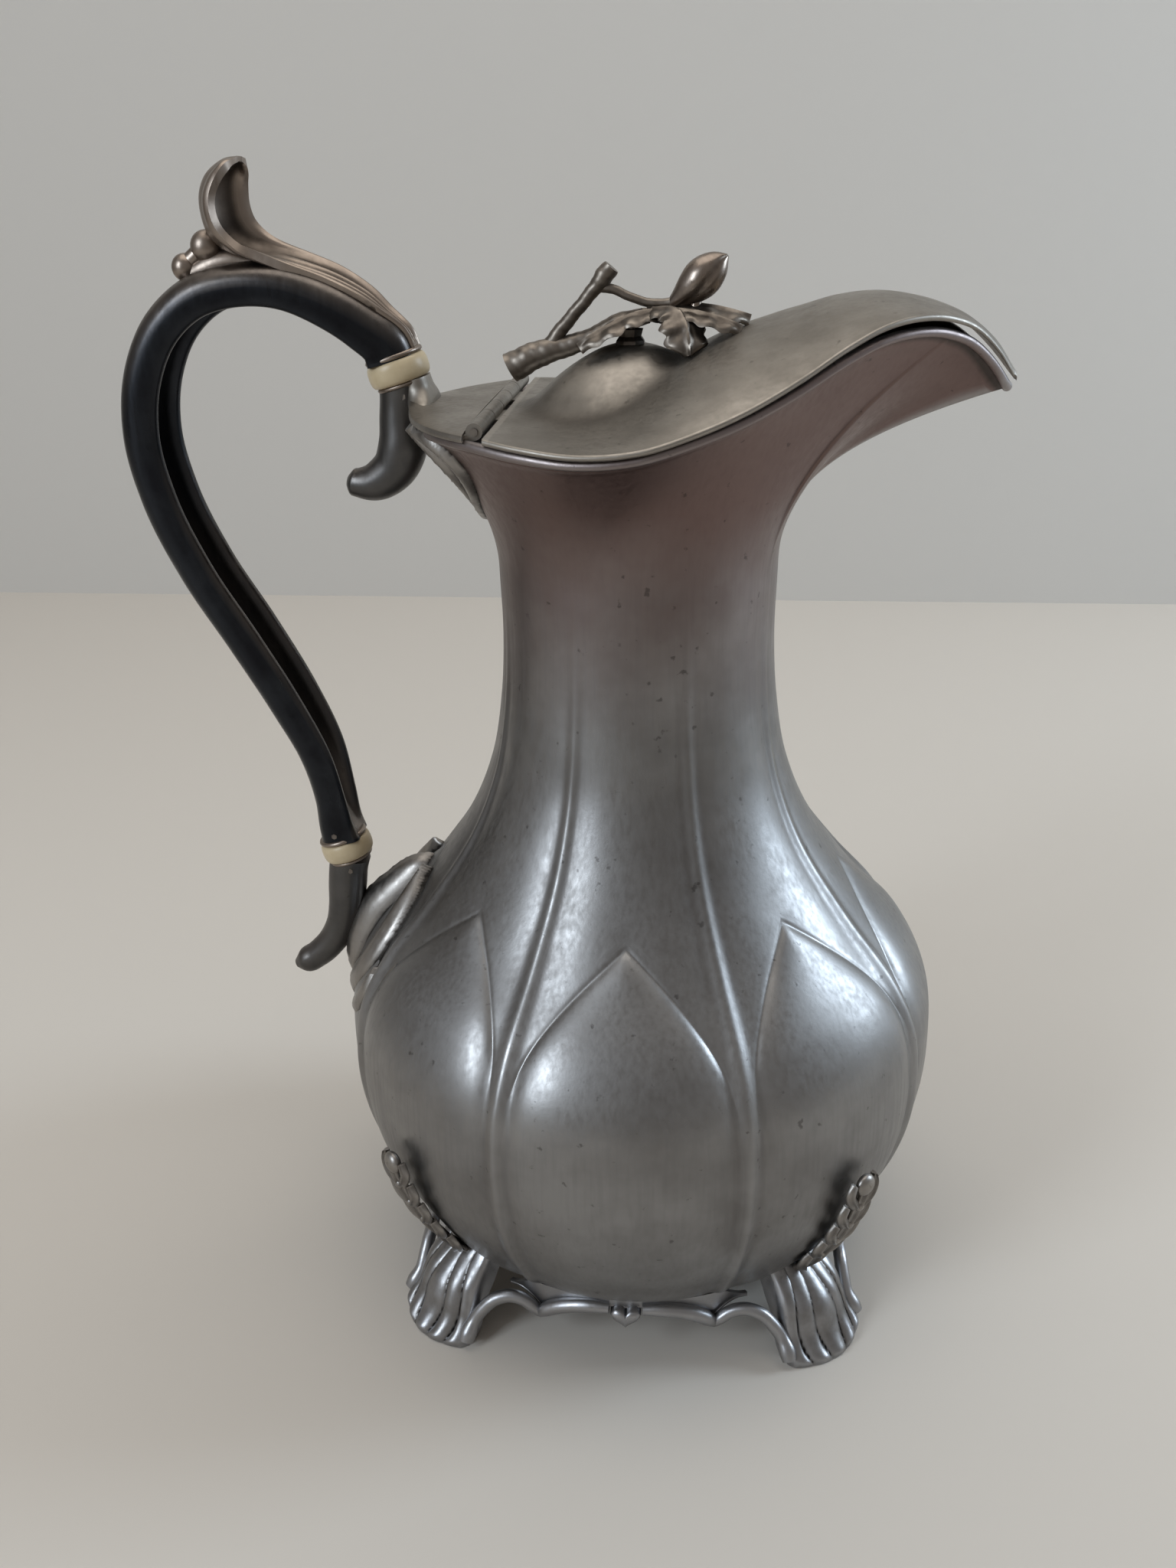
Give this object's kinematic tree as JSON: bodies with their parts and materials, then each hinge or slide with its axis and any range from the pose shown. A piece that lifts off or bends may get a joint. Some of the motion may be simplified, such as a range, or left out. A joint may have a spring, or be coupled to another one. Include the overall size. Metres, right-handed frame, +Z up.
{
  "type": "hinged-lid jug",
  "caption": "Footed metal jug with a lobed pear-shaped body, flared spout, hinged lid with a leaf and bud finial, and a scrolled handle held off the body by pale washers.",
  "frame": {"origin": "on the axis of the round belly, at the height of the table it stands on", "axes": "+Z up, +X towards the spout, -X towards the handle, +Y towards the far side in the picture"},
  "size_m": [0.1851, 0.1404, 0.2568],
  "materials": {
    "pewter_body": "satin grey pewter with warm tarnish",
    "pewter_lid": "satin grey pewter with brown tarnish",
    "cast_feet": "cast pewter, lighter and worn on the raised parts",
    "cast_trim": "cast pewter with dark hollows",
    "handle_metal": "near-black patina, brown-grey where rubbed",
    "finial_metal": "dark brown-grey with polished edges",
    "ivory_washer": "satin cream bone or ivory",
    "steel_pin": "drawn wire and bar"
  },
  "bodies": {
    "body": {"body_shell": "pewter_body", "body_floor": "pewter_body", "back_plate": "pewter_lid", "fixed_knuckles": "pewter_lid", "hinge_pin": "steel_pin", "handle_grip": "handle_metal", "thumb_leaf": "handle_metal", "thumb_berries": "handle_metal", "upper_insulator": "ivory_washer", "lower_insulator": "ivory_washer", "upper_socket": "handle_metal", "lower_socket": "handle_metal", "upper_dowel": "steel_pin", "lower_dowel": "steel_pin", "upper_rivets": "steel_pin", "lower_rivets": "steel_pin", "neck_leaf_mount": "cast_trim", "lower_leaf_mount": "cast_trim", "foot_front_left": "cast_feet", "spray_front_left": "cast_trim", "foot_front_right": "cast_feet", "spray_front_right": "cast_trim", "foot_back_left": "cast_feet", "spray_back_left": "cast_trim", "foot_back_right": "cast_feet", "spray_back_right": "cast_trim", "apron_left": "cast_feet", "apron_right": "cast_feet", "apron_front": "cast_feet", "apron_back": "cast_feet"},
    "lid": {"lid_plate": "pewter_lid", "lid_knuckles": "pewter_lid", "finial_stud": "steel_pin", "finial_nut": "steel_pin", "finial_post": "finial_metal", "finial_leaf": "finial_metal", "finial_bud": "finial_metal", "finial_branch": "finial_metal"}
  },
  "joints": [
    {"name": "lid_hinge", "type": "hinge", "parent": "body", "child": "lid", "pos_m": [-0.0286, 0, 0.2089], "axis": [0, -1, 0], "range_deg": [0, 80]}
  ]
}
